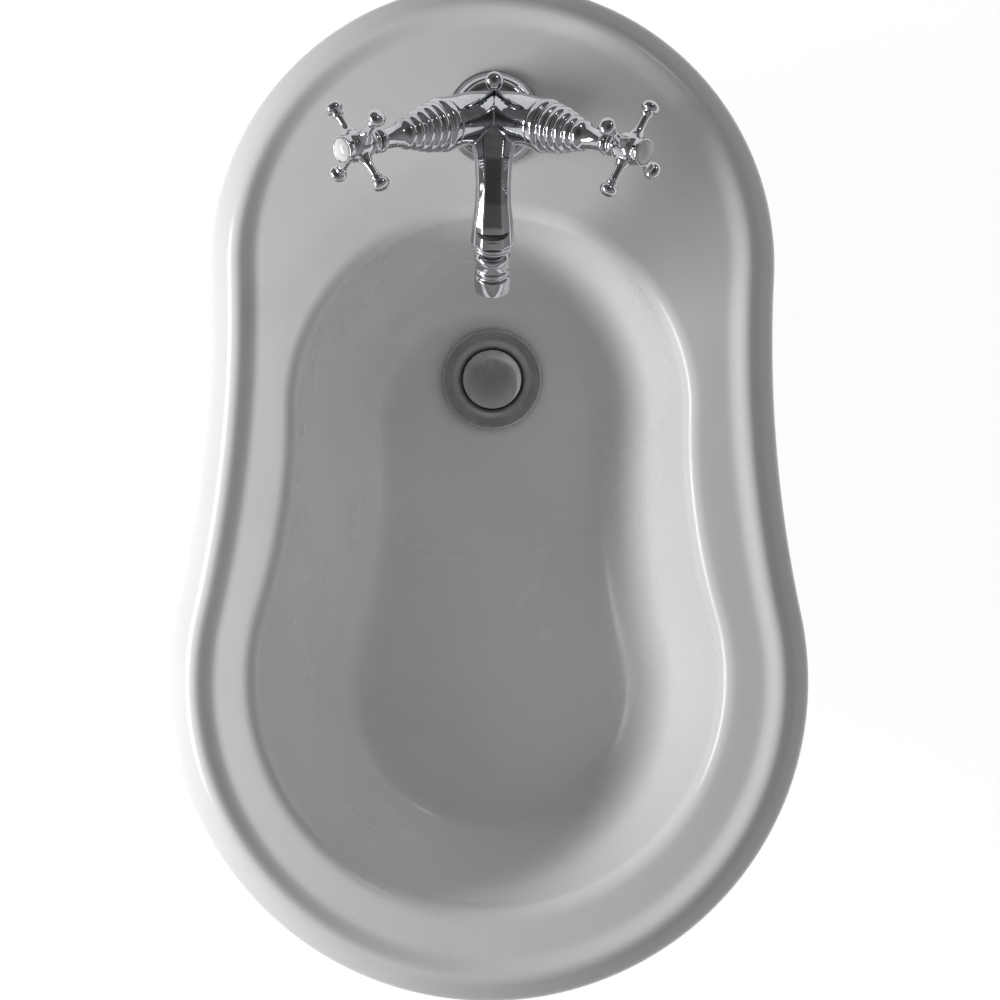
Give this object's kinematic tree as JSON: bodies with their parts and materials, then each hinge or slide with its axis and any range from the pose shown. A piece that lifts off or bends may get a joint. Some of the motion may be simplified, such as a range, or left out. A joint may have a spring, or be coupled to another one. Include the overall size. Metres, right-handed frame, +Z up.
{
  "type": "bidet",
  "caption": "Floor-standing glazed ceramic bidet with a figure-of-eight rim, a cross-handle mixer tap with a swivel nozzle, and a pop-up waste worked by a lift rod.",
  "frame": {"origin": "on the floor under the middle of the plan", "axes": "+Z up, -Y to the front of the bowl, +Y to the tap, +X to the right of someone looking along +Y"},
  "size_m": [0.3646, 0.5806, 0.5068],
  "materials": {
    "glazed_china": "glazed",
    "chrome": "polished",
    "brass": "turned",
    "steel": "brushed",
    "rubber": "matt",
    "disc_ceramic": "lapped",
    "white_porcelain": "glazed",
    "white_plastic": "moulded"
  },
  "bodies": {
    "base": {"ceramic_rim": "glazed_china", "ceramic_bowl": "glazed_china", "ceramic_pedestal": "glazed_china", "ceramic_foot": "glazed_china", "base_gasket": "rubber", "base_flange": "chrome", "clamp_washer": "rubber", "clamp_plate": "steel", "mounting_nut": "brass", "mounting_stud": "steel", "tap_body": "chrome", "right_seat_seal": "rubber", "right_fixed_disc": "disc_ceramic", "right_headwork": "brass", "right_bonnet": "chrome", "left_seat_seal": "rubber", "left_fixed_disc": "disc_ceramic", "left_headwork": "brass", "left_bonnet": "chrome", "swivel_collar": "chrome", "swivel_seal": "rubber", "waste_flange": "chrome", "waste_upper_seal": "rubber", "waste_lower_seal": "rubber", "back_nut": "brass", "waste_body": "chrome", "tailpiece": "chrome", "ball_seal": "white_plastic", "ball_nut": "chrome"},
    "right_handle": {"right_moving_disc": "disc_ceramic", "right_spindle": "brass", "right_handle": "chrome", "right_handle_screw": "steel", "right_index_button": "white_porcelain"},
    "left_handle": {"left_moving_disc": "disc_ceramic", "left_spindle": "brass", "left_handle": "chrome", "left_handle_screw": "steel", "left_index_button": "white_porcelain"},
    "lift_rod": {"lift_rod": "chrome", "lift_knob": "chrome", "rod_clamp": "brass", "clamp_screw": "brass"},
    "lever": {"lever": "steel"},
    "plug": {"plug": "chrome", "plug_seal": "rubber", "plug_stem": "white_plastic"},
    "swivel_ball": {"swivel_ball": "chrome"},
    "nozzle": {"aerator_housing": "chrome", "aerator_insert": "white_plastic"}
  },
  "joints": [
    {"name": "right_handle_turn", "type": "hinge", "parent": "base", "child": "right_handle", "pos_m": [0, 0.212, 0.4215], "axis": [0.7428, -0.263, 0.6157], "range_deg": [0, 90]},
    {"name": "left_handle_turn", "type": "hinge", "parent": "base", "child": "left_handle", "pos_m": [0, 0.212, 0.4215], "axis": [-0.7428, -0.263, 0.6157], "range_deg": [-90, 0]},
    {"name": "lift_rod_slide", "type": "slide", "parent": "base", "child": "lift_rod", "axis": [0, 0, 1], "range_m": [0, 0.029]},
    {"name": "lever_tilt", "type": "hinge", "parent": "base", "child": "lever", "pos_m": [0.00128, 0.09697, 0.178], "axis": [0.999, -0.0443, 0], "range_deg": [-0.1, 12.96]},
    {"name": "plug_slide", "type": "slide", "parent": "base", "child": "plug", "axis": [0, 0, 1], "range_m": [-0.00656, 0.00005]},
    {"name": "nozzle_yaw", "type": "hinge", "parent": "base", "child": "swivel_ball", "pos_m": [0, 0.13885, 0.42954], "axis": [0, -0.6428, 0.766], "range_deg": [-10, 10]},
    {"name": "nozzle_pitch", "type": "hinge", "parent": "swivel_ball", "child": "nozzle", "pos_m": [0, 0.13885, 0.42954], "axis": [1, 0, 0], "range_deg": [-10, 10]}
  ],
  "couplings": [
    {"joint": "lever_tilt", "follows": "lift_rod_slide", "rad_per_m": 7.7426},
    {"joint": "plug_slide", "follows": "lift_rod_slide", "ratio": -0.22454}
  ]
}
